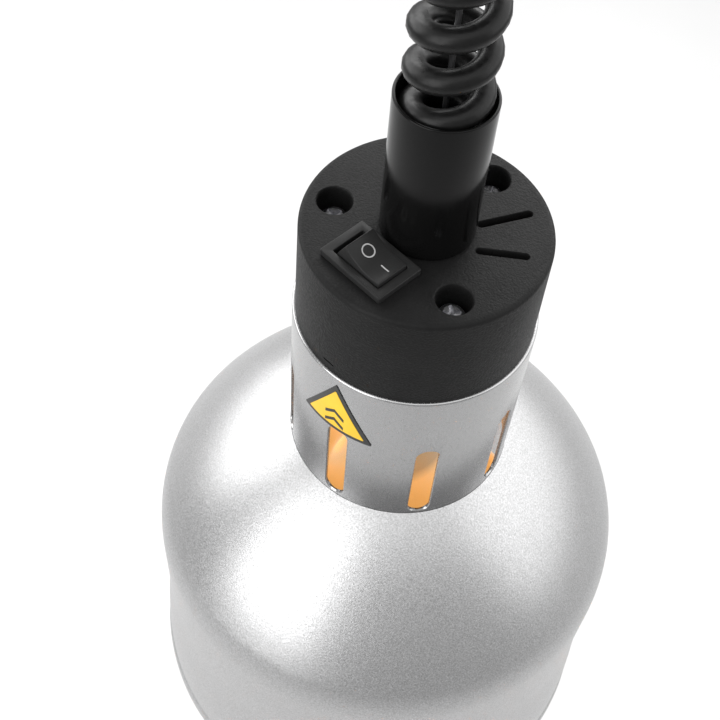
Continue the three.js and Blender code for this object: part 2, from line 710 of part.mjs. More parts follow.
// The shade's outer line from the collar to the mouth, as [radius, height] points.
function shadeLine() {
  const topR = COLLAR_R + GAP;
  const topZ = collarFootZ;
  const edgeZ = topZ - SHADE_DOME_H;
  const chordR = SHADE_R - topR;
  const chord = Math.hypot(chordR, SHADE_DOME_H);
  const normal = [SHADE_DOME_H / chord, chordR / chord];
  const dome = [];
  const lastShare = 1 - SHADE_EDGE_R / chord;
  for (let i = 0; i <= 5; i++) {
    const t = (lastShare * i) / 5;
    const lift = 4 * SHADE_BULGE * t * (1 - t);
    dome.push([topR + chordR * t + normal[0] * lift, topZ - SHADE_DOME_H * t + normal[1] * lift]);
  }
  const [fromR, fromZ] = dome[dome.length - 1];
  const round = new THREE.QuadraticBezierCurve(
    new THREE.Vector2(fromR, fromZ),
    new THREE.Vector2(SHADE_R, edgeZ + 1),
    new THREE.Vector2(SHADE_R, edgeZ - SHADE_EDGE_R),
  );
  const shoulder = round.getPoints(3).slice(1).map((p) => [p.x, p.y]);
  const beadTop = shadeFootZ + SHADE_BEAD_H;
  const flareTop = edgeZ - 0.4 * (edgeZ - beadTop);
  const skirt = [];
  for (let i = 0; i <= 3; i++) {
    const t = i / 3;
    const flare = SHADE_FLARE * t * t * (3 - 2 * t);
    skirt.push([SHADE_R + flare, flareTop + (beadTop - flareTop) * t]);
  }
  const beadMidZ = shadeFootZ + SHADE_BEAD_H / 2 - 0.5;
  const mouthR = SHADE_R + SHADE_FLARE;
  const bead = [
    [mouthR + SHADE_BEAD * 0.8, beadTop - 2],
    [mouthR + SHADE_BEAD, beadMidZ],
    [mouthR + SHADE_BEAD * 0.6, shadeFootZ],
  ];
  return [...dome, ...shoulder, ...skirt, ...bead];
}

// The line moved inwards by a wall thickness.
function offsetLine(line, wall) {
  return line.map(([r, z], i) => {
    const [r0, z0] = line[Math.max(i - 1, 0)];
    const [r1, z1] = line[Math.min(i + 1, line.length - 1)];
    const length = Math.hypot(r1 - r0, z1 - z0);
    return [r + (wall * (z1 - z0)) / length, z - (wall * (r1 - r0)) / length];
  });
}

function addShade() {
  const outer = shadeLine();
  const inner = offsetLine(outer, SHADE_WALL);
  inner[0] = [COLLAR_R + GAP, outer[0][1] - SHADE_WALL * 1.16];
  inner[inner.length - 1][1] = shadeFootZ;
  add("shade", turned([...outer, ...inner.reverse()], 44), silverPaint);
}

// ---------------------------------------------------------------- lamp holder and bulb
function addHolder() {
  const boreTop = holderFootZ + HOLDER_BORE_DEPTH;
  let holder = turned(
    [
      [0, boreTop],
      [HOLDER_BORE_R, boreTop],
      [HOLDER_BORE_R, holderFootZ],
      [HOLDER_R - 1, holderFootZ],
      [HOLDER_R, holderFootZ + 1],
      [HOLDER_R, holderTopZ - 12],
      [HOLDER_R - 2, holderTopZ - 8],
      [HOLDER_R - 2, holderTopZ],
      [0, holderTopZ],
    ],
    24,
  );
  for (const side of [-1, 1]) {
    const x = side * holderScrewX;
    holder = holder.subtract(rod(1.8 + GAP, holderTopZ - 7, holderTopZ + 1, x, 0, 16));
  }
  add("lamp_holder", holder, ceramic);
  const shellOuter = HOLDER_BORE_R - GAP;
  const shellFoot = holderFootZ + 2;
  const shellTop = boreTop - 3;
  add("socket_shell", ring(shellOuter - SOCKET_SHELL_T, shellOuter, shellFoot, shellTop, 24), brass);
  add("socket_contact", rod(3, boreTop - 3.6, boreTop - GAP, 0, 0, 16), brass);
}

function bulbLine(scaleIn) {
  const top = glassTopZ;
  const foot = glassTopZ - BULB_GLASS_L;
  const wideZ = foot + 44;
  const neckR = BULB_NECK_R - scaleIn;
  const wideR = BULB_R - scaleIn;
  const cone = new THREE.CubicBezierCurve(
    new THREE.Vector2(neckR, top - 8),
    new THREE.Vector2(neckR + 5, top - 40),
    new THREE.Vector2(wideR, wideZ + 46),
    new THREE.Vector2(wideR, wideZ),
  );
  const face = new THREE.CubicBezierCurve(
    new THREE.Vector2(wideR, wideZ),
    new THREE.Vector2(wideR, wideZ - 24),
    new THREE.Vector2(wideR * 0.62, foot + scaleIn),
    new THREE.Vector2(0, foot + scaleIn),
  );
  const points = [...cone.getPoints(6), ...face.getPoints(5).slice(1)];
  return [[neckR, top], ...points.map((p) => [p.x, p.y])];
}

function addBulb() {
  const contactZ = glassTopZ + BULB_BASE_L + GAP;
  const base = [
    [0, glassTopZ + GAP],
    [BULB_BASE_R, glassTopZ + GAP],
    [BULB_BASE_R, contactZ - 4],
    [BULB_BASE_R - 3.6, contactZ],
    [0, contactZ],
  ];
  add("bulb_base", turned(base, 24), steel);
  const insulator = [
    [0, contactZ + GAP],
    [8.6, contactZ + GAP],
    [4.6, contactZ + 2.6],
    [0, contactZ + 2.9],
  ];
  add("bulb_contact", turned(insulator, 16), brass);

  const outer = bulbLine(0);
  const inner = bulbLine(BULB_WALL).reverse();
  add("bulb_glass", turned([...outer, ...inner], 24), glass);

  const stemTop = glassTopZ - 1;
  const stem = turned(
    [
      [0, stemTop],
      [9, stemTop],
      [5, stemTop - 8],
      [3.2, stemTop - 30],
      [3.2, stemTop - 58],
      [0, stemTop - 60],
    ],
    16,
  );
  add("bulb_stem", stem, glass);
  const filamentZ = stemTop - 62;
  const filament = [-3, -2, -1, 0, 1, 2, 3].map((i) => {
    const a = (i / 3) * 140 * DEG;
    return [14 * Math.sin(a), 14 * Math.cos(a), filamentZ];
  });
  add("bulb_filament", tube(filament, 1.4, 14, 6), steel);
}

// ---------------------------------------------------------------- label
function addLabel() {
  const height = LABEL_SIDE * Math.sin(60 * DEG);
  const corner = 1.6;
  const apex = [0, height / 2];
  const left = [-LABEL_SIDE / 2, -height / 2];
  const right = [LABEL_SIDE / 2, -height / 2];
  const toward = ([x0, y0], [x1, y1], d) => {
    const k = d / Math.hypot(x1 - x0, y1 - y0);
    return [x0 + (x1 - x0) * k, y0 + (y1 - y0) * k];
  };
  const shape = new THREE.Shape();
  const corners = [left, right, apex];
  corners.forEach((point, i) => {
    const before = corners[(i + 2) % 3];
    const after = corners[(i + 1) % 3];
    const entry = toward(point, before, corner);
    const exit = toward(point, after, corner);
    if (i === 0) shape.moveTo(...entry);
    else shape.lineTo(...entry);
    shape.quadraticCurveTo(...point, ...exit);
  });
  const prism = new THREE.ExtrudeGeometry(shape, {
    depth: 20,
    bevelEnabled: false,
    curveSegments: 3,
  });
  const middleZ = capFootZ - LABEL_TOP_DROP - height / 2;
  prism.rotateX(Math.PI / 2).rotateZ(Math.PI / 2).translate(COLLAR_R - 10, 0, middleZ);
  prism.rotateZ(LABEL_ANGLE);
  const skinInner = COLLAR_R + 0.1;
  const skin = ring(skinInner, skinInner + LABEL_T, middleZ - height, middleZ + height, 112);
  add("hot_surface_label", solid(prism).intersect(skin), labelYellow);
}

addBracket();
addCanopy();
addReel();
addTerminals();
addSwivel();
addSuspension();
addLowerTail();
addAnchor();
addSleeve();
addCap();
addSwitch();
addLeads();
addPlate();
addCollar();
addShade();
addHolder();
addBulb();
addLabel();

export default group;
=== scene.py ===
# Pendant heat lamp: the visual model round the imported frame. Lengths are worked out in millimetres
# in the row frame, and written to Blender in metres.
import json
import math

import bmesh
import bpy
from mathutils import Matrix, Vector


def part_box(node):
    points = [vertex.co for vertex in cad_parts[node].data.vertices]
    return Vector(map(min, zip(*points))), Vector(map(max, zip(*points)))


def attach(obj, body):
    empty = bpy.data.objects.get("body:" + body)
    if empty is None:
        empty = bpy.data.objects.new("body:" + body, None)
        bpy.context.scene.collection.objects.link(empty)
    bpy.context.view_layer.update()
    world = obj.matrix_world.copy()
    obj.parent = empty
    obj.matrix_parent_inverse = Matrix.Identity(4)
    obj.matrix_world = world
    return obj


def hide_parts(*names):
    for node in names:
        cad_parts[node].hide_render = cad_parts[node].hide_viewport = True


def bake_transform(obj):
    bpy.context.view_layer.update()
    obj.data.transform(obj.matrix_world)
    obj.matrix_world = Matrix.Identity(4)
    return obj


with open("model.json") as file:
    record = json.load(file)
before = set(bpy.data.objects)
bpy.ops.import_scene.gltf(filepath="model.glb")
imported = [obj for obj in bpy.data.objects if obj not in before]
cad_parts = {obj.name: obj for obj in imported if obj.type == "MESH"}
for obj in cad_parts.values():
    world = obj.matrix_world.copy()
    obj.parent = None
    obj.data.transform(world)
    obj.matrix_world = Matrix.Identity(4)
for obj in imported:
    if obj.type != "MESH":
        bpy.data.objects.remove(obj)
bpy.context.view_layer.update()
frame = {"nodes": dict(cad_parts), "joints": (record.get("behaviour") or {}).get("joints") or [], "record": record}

MM = 0.001
TAU = 2 * math.pi
SMOOTH_ANGLE = 35  # degrees; an edge that turns by more stays sharp
CORD_SMOOTH_ANGLE = 60


# ---------------------------------------------------------------- levels and sizes from the frame
def low(node, axis=2):
    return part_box(node)[0][axis] / MM


def high(node, axis=2):
    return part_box(node)[1][axis] / MM


CAP_Z = high("cap")
CAP_FOOT = low("cap")
COLLAR_TOP = high("collar")
COLLAR_FOOT = high("shade")
SHADE_FOOT = low("shade")
SLEEVE_TOP = high("cord_sleeve")
SLEEVE_R = high("cord_sleeve", 0)
COLLAR_R = 36.3
HOLDER_TOP = high("lamp_holder")
HOLDER_FOOT = low("lamp_holder")
BULB_TOP = high("bulb_glass")
BULB_FOOT = low("bulb_glass")
BULB_R = high("bulb_glass", 0)
PIVOT_Z = frame["joints"][0]["pos_m"][2] / MM
SWITCH_Y = (low("switch_housing", 1) + high("switch_housing", 1)) / 2
BEZEL_TOP = high("switch_housing")

CORD_R = 3.15
COIL_R = 8.55
COIL_PITCH = 12.0
COIL_TURNS = 17 + 24 / 360
COIL_FOOT = low("curly_cord")
COIL_TOP = COIL_FOOT + COIL_TURNS * COIL_PITCH
WIRE_R = 0.75
TAIL_R = 6.3  # from the axis to the cord's middle, where it goes down inside the sleeve
TAIL_ANGLE = math.radians(-24)
NECK_X = 4.7  # the same, where it leaves the swivel ball
STEPS_PER_TURN = 28


# ---------------------------------------------------------------- camera, at the photograph's angle
CAMERA_AZIMUTH = math.radians(38.3)
CAMERA_ELEVATION = math.radians(47.51)
CAMERA_DISTANCE = 317.8  # from the middle of the cap's top face
CAMERA_PAN = math.radians(-2.30)
CAMERA_TILT = math.radians(-7.03)
CAMERA_ROLL = math.radians(8.26)
CAMERA_LENS = 58.45


def make_camera():
    a, e = CAMERA_AZIMUTH, CAMERA_ELEVATION
    back = Vector((math.sin(a) * math.cos(e), -math.cos(a) * math.cos(e), math.sin(e)))
    right = Vector((math.cos(a), math.sin(a), 0))
    up = back.cross(right)
    cp, sp = math.cos(CAMERA_PAN), math.sin(CAMERA_PAN)
    ct, st = math.cos(CAMERA_TILT), math.sin(CAMERA_TILT)
    ahead = (-back * cp * ct + right * sp * ct + up * st).normalized()
    side = ahead.cross(up).normalized()
    top = side.cross(ahead)
    cr, sr = math.cos(CAMERA_ROLL), math.sin(CAMERA_ROLL)
    x, y = side * cr + top * sr, top * cr - side * sr
    place = (Vector((0, 0, CAP_Z)) + back * CAMERA_DISTANCE) * MM
    data = bpy.data.cameras.new("camera")
    data.lens = CAMERA_LENS
    data.sensor_width = 36
    data.clip_start = 0.01
    camera = bpy.data.objects.new("camera", data)
    camera.matrix_world = Matrix.Translation(place) @ Matrix((x, y, -ahead)).transposed().to_4x4()
    bpy.context.scene.collection.objects.link(camera)
    bpy.context.scene.camera = camera


make_camera()


# ---------------------------------------------------------------- mesh helpers
def new_object(name, mesh):
    obj = bpy.data.objects.new(name, mesh)
    bpy.context.scene.collection.objects.link(obj)
    return obj


def from_bmesh(name, bm, smooth_angle=SMOOTH_ANGLE):
    bmesh.ops.recalc_face_normals(bm, faces=bm.faces)
    bmesh.ops.scale(bm, vec=(MM, MM, MM), verts=bm.verts)
    mesh = bpy.data.meshes.new(name)
    bm.to_mesh(mesh)
    bm.free()
    smooth(mesh, smooth_angle)
    return new_object(name, mesh)


def smooth(mesh, angle):
    for polygon in mesh.polygons:
        polygon.use_smooth = True
    mesh.set_sharp_from_angle(angle=math.radians(angle))


def add_turned(bm, outline, segments=96, centre=(0, 0), closed=True):
    """Adds a turned body to bm. outline is [radius, z] points; a point on the axis is a pole."""
    rings = []
    for r, z in outline:
        if r < 1e-6:
            rings.append([bm.verts.new((centre[0], centre[1], z))])
            continue
        ring = []
        for i in range(segments):
            a = TAU * i / segments
            ring.append(bm.verts.new((centre[0] + r * math.cos(a), centre[1] + r * math.sin(a), z)))
        rings.append(ring)
    pairs = list(zip(rings, rings[1:]))
    if closed and len(rings[0]) > 1 and len(rings[-1]) > 1:
        pairs.append((rings[-1], rings[0]))
    for one, two in pairs:
        for i in range(segments):
            j = (i + 1) % segments
            if len(one) == 1 and len(two) == 1:
                continue
            if len(one) == 1:
                bm.faces.new((one[0], two[j], two[i]))
            elif len(two) == 1:
                bm.faces.new((one[i], one[j], two[0]))
            else:
                bm.faces.new((one[i], one[j], two[j], two[i]))


def turned(name, outline, segments=96, angle=SMOOTH_ANGLE):
    bm = bmesh.new()
    add_turned(bm, outline, segments)
    return from_bmesh(name, bm, angle)


OFF_AXIS = 1000


def rounded(points, radius, steps):
    """A closed outline with its corners rounded. radius is one number, or one for each corner.
    A corner on the axis stays sharp."""
    out = []
    count = len(points)
    for i, point in enumerate(points):
        r = radius[i] if hasattr(radius, "__len__") else radius
        p = Vector(point)
        before = Vector(points[i - 1]) - p
        after = Vector(points[(i + 1) % count]) - p
        d = min(r, before.length * 0.49, after.length * 0.49)
        if d < 1e-6 or point[0] < 1e-6:
            out.append(tuple(p))
            continue
        a = p + before.normalized() * d
        b = p + after.normalized() * d
        for k in range(steps + 1):
            t = k / steps
            out.append(tuple(a.lerp(p, t).lerp(p.lerp(b, t), t)))
    return out


def curve_points(controls, count):
    """Points of a Bezier curve of any degree."""
    out = []
    for k in range(count + 1):
        t = k / count
        line = [Vector(c) for c in controls]
        while len(line) > 1:
            line = [a.lerp(b, t) for a, b in zip(line, line[1:])]
        out.append(tuple(line[0]))
    return out


def extruded(name, outline, z0, z1):
    """A flat outline of [x, y] points, from z0 to z1."""
    bm = bmesh.new()
    add_extruded(bm, outline, z0, z1)
    return from_bmesh(name, bm)


def add_extruded(bm, outline, z0, z1, matrix=Matrix.Identity(4)):
    rings = [[bm.verts.new(matrix @ Vector((x, y, z))) for x, y in outline] for z in (z0, z1)]
    join_rings(bm, rings)


def stadium(length, width):
    """A long outline with round ends, along X."""
    count = 12
    half = (length - width) / 2
    out = []
    for k in range(count + 1):
        a = -math.pi / 2 + math.pi * k / count
        out.append((half + width / 2 * math.cos(a), width / 2 * math.sin(a)))
    return out + [(-x, -y) for x, y in out]


def rounded_flat(corners, radius, steps, centre=(0, 0)):
    """rounded for an outline that isn't turned: it is moved off the axis and back."""
    moved = [(x + OFF_AXIS, y) for x, y in corners]
    return [(x - OFF_AXIS + centre[0], y + centre[1]) for x, y in rounded(moved, radius, steps)]


def box_outline(length, width, radius, centre=(0, 0)):
    x, y = length / 2, width / 2
    return rounded_flat([(-x, -y), (x, -y), (x, y), (-x, y)], radius, 5, centre)


def swept(name, path, radius, sides):
    """A round cord along the path, with flat ends."""
    bm = bmesh.new()
    points = [Vector(p) for p in path]
    tangents = []
    for i in range(len(points)):
        tangents.append((points[min(i + 1, len(points) - 1)] - points[max(i - 1, 0)]).normalized())
    normal = tangents[0].orthogonal().normalized()
    rings = []
    for point, tangent in zip(points, tangents):
        normal = (normal - tangent * normal.dot(tangent)).normalized()
        across = tangent.cross(normal)
        ring = []
        for k in range(sides):
            a = TAU * k / sides
            offset = normal * math.cos(a) + across * math.sin(a)
            ring.append(bm.verts.new(point + offset * radius))
        rings.append(ring)
    join_rings(bm, rings)
    return from_bmesh(name, bm, CORD_SMOOTH_ANGLE)


def join_rings(bm, rings):
    """Faces between closed rings of the same count, and one over each end."""
    for one, two in zip(rings, rings[1:]):
        for k in range(len(one)):
            j = (k + 1) % len(one)
            bm.faces.new((one[k], one[j], two[j], two[k]))
    bm.faces.new(list(reversed(rings[0])))
    bm.faces.new(rings[-1])


def applied(obj, angle=SMOOTH_ANGLE):
    """The object's modifiers applied to its mesh."""
    graph = bpy.context.evaluated_depsgraph_get()
    mesh = bpy.data.meshes.new_from_object(obj.evaluated_get(graph))
    old = obj.data
    obj.modifiers.clear()
    obj.data = mesh
    bpy.data.meshes.remove(old)
    smooth(mesh, angle)
    return obj


def bevelled(obj, width, segments, angle=SMOOTH_ANGLE):
    modifier = obj.modifiers.new("bevel", "BEVEL")
    modifier.width = width * MM
    modifier.segments = segments
    modifier.limit_method = "ANGLE"
    modifier.angle_limit = math.radians(angle)
    modifier.use_clamp_overlap = True
    return applied(obj, angle)


def cut(obj, build, angle=SMOOTH_ANGLE):
    """Cuts out of the object the bodies that build adds to a bmesh. They must not meet."""
    bm = bmesh.new()
    build(bm)
    cutter = from_bmesh("cutter", bm)
    modifier = obj.modifiers.new("cut", "BOOLEAN")
    modifier.operation = "DIFFERENCE"
    modifier.solver = "EXACT"
    modifier.object = cutter
    applied(obj, angle)
    bpy.data.objects.remove(cutter)


# ---------------------------------------------------------------- material helpers
TOOL_LINES = (1, 1, 12)  # stretches a noise into lines across Z
LAMP_LIGHT = (1.0, 0.48, 0.13)


def shades(low_color, high_color):
    """The two ends of a noise's colours, for ramp."""
    return [(0.3, low_color), (0.7, high_color)]


def scaled(color, factor):
    return tuple(min(c * factor, 1) for c in color)


def material(name, color, roughness, metallic=0.0, **settings):
    m = bpy.data.materials.new(name)
    m.use_nodes = True
    shader = m.node_tree.nodes["Principled BSDF"]
    shader.inputs["Base Color"].default_value = (*color, 1)
    shader.inputs["Roughness"].default_value = roughness
    shader.inputs["Metallic"].default_value = metallic
    for key, value in settings.items():
        shader.inputs[key.replace("_", " ")].default_value = value
    return m


def node(m, kind, **inputs):
    n = m.node_tree.nodes.new(kind)
    for key, value in inputs.items():
        n.inputs[key.replace("_", " ")].default_value = value
    return n


def place(m, scale):
    coordinates = node(m, "ShaderNodeTexCoord")
    mapping = node(m, "ShaderNodeMapping")
    mapping.inputs["Scale"].default_value = scale
    m.node_tree.links.new(coordinates.outputs["Object"], mapping.inputs["Vector"])
    return mapping.outputs["Vector"]


def noise(m, size, detail, scale=(1, 1, 1)):
    """A noise whose grains are about that size in millimetres."""
    n = node(m, "ShaderNodeTexNoise", Scale=1 / (size * MM), Detail=detail)
    m.node_tree.links.new(place(m, scale), n.inputs["Vector"])
    return n.outputs["Fac"]


def spread(m, source, low_value, high_value, start=0.3, end=0.7):
    n = node(m, "ShaderNodeMapRange")
    n.inputs["From Min"].default_value = start
    n.inputs["From Max"].default_value = end
    n.inputs["To Min"].default_value = low_value
    n.inputs["To Max"].default_value = high_value
    m.node_tree.links.new(source, n.inputs["Value"])
    return n.outputs["Result"]


def ramp(m, source, stops):
    n = node(m, "ShaderNodeValToRGB")
    elements = n.color_ramp.elements
    while len(elements) < len(stops):
        elements.new(0.5)
    for element, (position, color) in zip(elements, stops):
        element.position = position
        element.color = (*color, 1)
    m.node_tree.links.new(source, n.inputs["Fac"])
    return n.outputs["Color"]


def into(m, source, socket):
    shader = m.node_tree.nodes["Principled BSDF"]
    m.node_tree.links.new(source, shader.inputs[socket])


def bump(m, source, depth):
    """Raises the surface by the source, depth in millimetres."""
    n = node(m, "ShaderNodeBump", Strength=1.0, Distance=depth * MM)
    m.node_tree.links.new(source, n.inputs["Height"])
    into(m, n.outputs["Normal"], "Normal")


def silver_paint(name, grain, depth, color, roughness, flake_contrast):
    """Silver paint: fine metallic flake, a slight orange peel, and soft wide highlights."""
    m = material(name, (color, color, color * 1.01), roughness, 1.0)
    flake = noise(m, grain, 2)
    low_c, high_c = color * (1 - flake_contrast), color * (1 + flake_contrast)
    tones = shades((low_c,) * 3, (high_c, high_c, high_c * 1.01))
    into(m, ramp(m, flake, tones), "Base Color")
    into(m, spread(m, noise(m, grain * 1.3, 2), roughness - 0.07, roughness + 0.09), "Roughness")
    bump(m, flake, depth)
    return m


def black_plastic(name):
    """Matt black moulding with a fine spark-eroded texture."""
    m = material(name, (0.007, 0.007, 0.007), 0.46, Specular_IOR_Level=0.14)
    grain = noise(m, 0.6, 4)
    into(m, ramp(m, noise(m, 9, 3), shades((0.006,) * 3, (0.009,) * 3)), "Base Color")
    into(m, spread(m, grain, 0.42, 0.6), "Roughness")
    bump(m, grain, 0.16)
    return m


def gloss_black(name, roughness=0.16, color=0.004):
    m = material(name, (color, color, color), roughness, Specular_IOR_Level=0.15)
    into(m, spread(m, noise(m, 5, 3), roughness * 0.8, roughness * 1.3), "Roughness")
    bump(m, noise(m, 14, 2), 0.03)
    return m


def jacket(name):
    """Smooth cord jacket with faint cross marks."""
    m = material(name, (0.005, 0.005, 0.005), 0.3, Specular_IOR_Level=0.22)
    into(m, spread(m, noise(m, 1.5, 3), 0.27, 0.42), "Roughness")
    bump(m, noise(m, 2.2, 3), 0.03)
    return m


def wire_metal(name):
    m = material(name, (0.05, 0.05, 0.052), 0.38, 0.6)
    into(m, spread(m, noise(m, 0.8, 2), 0.3, 0.5), "Roughness")
    bump(m, noise(m, 0.5, 2), 0.02)
    return m


def plated(name, color, roughness):
    """Plated or turned metal with fine tool lines."""
    m = material(name, color, roughness, 1.0)
    lines = noise(m, 1.2, 4, TOOL_LINES)
    into(m, spread(m, lines, roughness * 0.75, roughness * 1.4), "Roughness")
    into(m, ramp(m, noise(m, 6, 3), shades(scaled(color, 0.88), color)), "Base Color")
    bump(m, lines, 0.01)
    return m


def glaze_with_painted_glow(name):
    """Ceramic with painted lamplight: a warm tint in its colour and a faint emission stand in for the bulb's light
    falling on it.
    """
    # painted glow: this emission and the warm base colour below stand in for the bulb's light on the ceramic
    glow = {"Emission_Color": (*LAMP_LIGHT, 1), "Emission_Strength": 0.32}
    m = material(name, (0.5, 0.4, 0.27), 0.25, **glow)
    into(m, ramp(m, noise(m, 4, 4), shades((0.42, 0.33, 0.21), (0.55, 0.44, 0.3))), "Base Color")
    bump(m, noise(m, 3, 2), 0.04)
    return m


def soft_plastic(name, color, roughness=0.45):
    m = material(name, color, roughness)
    into(m, ramp(m, noise(m, 3, 3), shades(scaled(color, 0.85), scaled(color, 1.1))), "Base Color")
    bump(m, noise(m, 0.6, 2), 0.02)
    return m


def printed_film(name, color, roughness=0.35):
    m = material(name, color, roughness)
    into(m, ramp(m, noise(m, 5, 3), shades(scaled(color, 0.92), color)), "Base Color")
    bump(m, noise(m, 1.2, 2), 0.01)
    return m


def bulb_glass(name):
    """Clear glass over the face, silvered inside above the widest part, glowing below the neck. The glow through
    the face is the lamp's own light; the glow and the warm tint on the silvered part are painted light for the
    bulb's light inside it.
    """
    # painted light: the warm tint of the silvered part stands in for the bulb's light reflected inside it
    m = material(name, (0.6, 0.46, 0.28), 0.1, IOR=1.45, Emission_Color=(*LAMP_LIGHT, 1))
    position = node(m, "ShaderNodeTexCoord")
    split = node(m, "ShaderNodeSeparateXYZ")
    m.node_tree.links.new(position.outputs["Object"], split.inputs["Vector"])
    height = split.outputs["Z"]
    edge, edge_blur = BULB_FOOT + 40, 2
    neck, neck_blur = BULB_TOP - 25, 3
    across_edge = ((edge - edge_blur) * MM, (edge + edge_blur) * MM)
    across_neck = ((neck - neck_blur) * MM, (neck + neck_blur) * MM)
    # painted glow: emission is stronger below the neck, standing in for the bulb's light on its silvered cone as
    # well as its real light through the face
    into(m, spread(m, height, 0.56, 0.14, *across_neck), "Emission Strength")
    into(m, spread(m, height, 0, 1, *across_edge), "Metallic")
    into(m, spread(m, height, 0.85, 0, *across_edge), "Transmission Weight")
    bump(m, noise(m, 0.8, 2), 0.03)
    return m


def glowing(name, color, strength):
    m = material(name, color, 0.4, Emission_Strength=strength)
    into(m, ramp(m, noise(m, 2, 2), shades(scaled(color, 0.8), color)), "Emission Color")
    return m


def make_materials():
    return {
        "silver_shade": silver_paint("silver_shade", 0.5, 0.045, 0.48, 0.39, 0.2),
        "silver_collar": silver_paint("silver_collar", 0.35, 0.008, 0.42, 0.22, 0.06),
        "black_enamel": gloss_black("black_enamel", 0.22),
        "black_plastic": black_plastic("black_plastic"),
        "gloss_black": gloss_black("gloss_black"),
        "switch_black": gloss_black("switch_black", 0.36, 0.02),
        "zinc_steel": plated("zinc_steel", (0.66, 0.66, 0.68), 0.32),
        "wire_steel": wire_metal("wire_steel"),
        "cord_black": jacket("cord_black"),
        "brass": plated("brass", (0.75, 0.56, 0.27), 0.28),
        "white_ceramic": glaze_with_painted_glow("white_ceramic"),
        "white_nylon": soft_plastic("white_nylon", (0.78, 0.78, 0.75)),
        "lead_brown": soft_plastic("lead_brown", (0.16, 0.07, 0.03)),
        "lead_blue": soft_plastic("lead_blue", (0.03, 0.1, 0.35)),
        "lead_green": soft_plastic("lead_green", (0.08, 0.3, 0.05)),
        "bulb_nickel": plated("bulb_nickel", (0.72, 0.69, 0.64), 0.25),
        "tungsten": glowing("tungsten", (1.0, 0.55, 0.18), 30),
        "label_yellow": printed_film("label_yellow", (0.9, 0.55, 0.01)),
        "bulb_glass": bulb_glass("bulb_glass"),
        "label_dark": printed_film("label_dark", (0.012, 0.012, 0.012)),
        "mark_white": printed_film("mark_white", (0.42, 0.42, 0.42), 0.5),
    }


MATERIALS = make_materials()


def finish_piece(obj, body, slot, *nodes, look=None):
    """Gives the piece the material of its slot, or of look when that is given, hangs it on its body, and hides the
    CAD nodes it stands for.
    """
    obj.data.materials.clear()
    obj.data.materials.append(MATERIALS[look or slot])
    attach(obj, body)
    if nodes:
        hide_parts(*nodes)


# ---------------------------------------------------------------- cord and wire
CORD_START = PIVOT_Z - 8
SPOUT_MOUTH = low("swivel_ball")


def coil_point(z):
    """The coil's centreline at a height: a right-hand helix with its top end on +X."""
    a = -TAU * (COIL_TOP - z) / COIL_PITCH
    return Vector((COIL_R * math.cos(a), COIL_R * math.sin(a), z))


def coil_direction(z):
    step = 0.01
    return (coil_point(z - step) - coil_point(z)).normalized()


def joined_line(p0, t0, p1, t1, pull, count):
    """A smooth line from p0 to p1 that leaves along t0 and arrives along t1."""
    return [Vector(p) for p in curve_points([p0, p0 + t0 * pull, p1 - t1 * pull, p1], count)]


def cord_line():
    down = Vector((0, 0, -1))
    coil_first = COIL_TOP - 7.5
    coil_last = COIL_FOOT + 5.0
    line = [Vector((NECK_X, 0, z)) for z in (CORD_START, CORD_START - 6, CORD_START - 12)]
    neck_end = Vector((NECK_X, 0, SPOUT_MOUTH + 3))
    line += joined_line(neck_end, down, coil_point(coil_first), coil_direction(coil_first), 8, 10)
    steps = round((coil_first - coil_last) / COIL_PITCH * STEPS_PER_TURN)
    for i in range(1, steps + 1):
        line.append(coil_point(coil_first + (coil_last - coil_first) * i / steps))
    tail_in = Vector((math.cos(TAIL_ANGLE), math.sin(TAIL_ANGLE), 0))
    tail_top = tail_in * (TAIL_R + 0.6) + Vector((0, 0, COIL_FOOT - 12))
    line += joined_line(line[-1], coil_direction(coil_last), tail_top, down, 7, 10)[1:]
    line += [tail_in * TAIL_R + Vector((0, 0, CAP_Z - d)) for d in (0, 7, 14)]
    return line


def make_cord():
    line = cord_line()
    cord = swept("curly_cord_jacket", line, CORD_R, 14)
    cord.data.materials.append(MATERIALS["cord_black"])
    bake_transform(cord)
    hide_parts("curly_cord", "cord_neck", "cord_tail_lower")


def make_wire():
    foot = low("suspension_wire")
    steps = 40
    line = [Vector((0, 0, CORD_START + (foot - CORD_START) * i / steps)) for i in range(steps + 1)]
    wire = swept("suspension_wire_rope", line, WIRE_R, 12)
    wire.data.materials.append(MATERIALS["wire_steel"])
    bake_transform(wire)
    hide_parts("suspension_wire")


make_cord()
make_wire()


# ---------------------------------------------------------------- ceiling canopy and ball
CANOPY_WALL = 1.5
CANOPY_TOP = -0.5
GLAND_HOLE_R = 20.3
CANOPY_SCREW_Z = -12


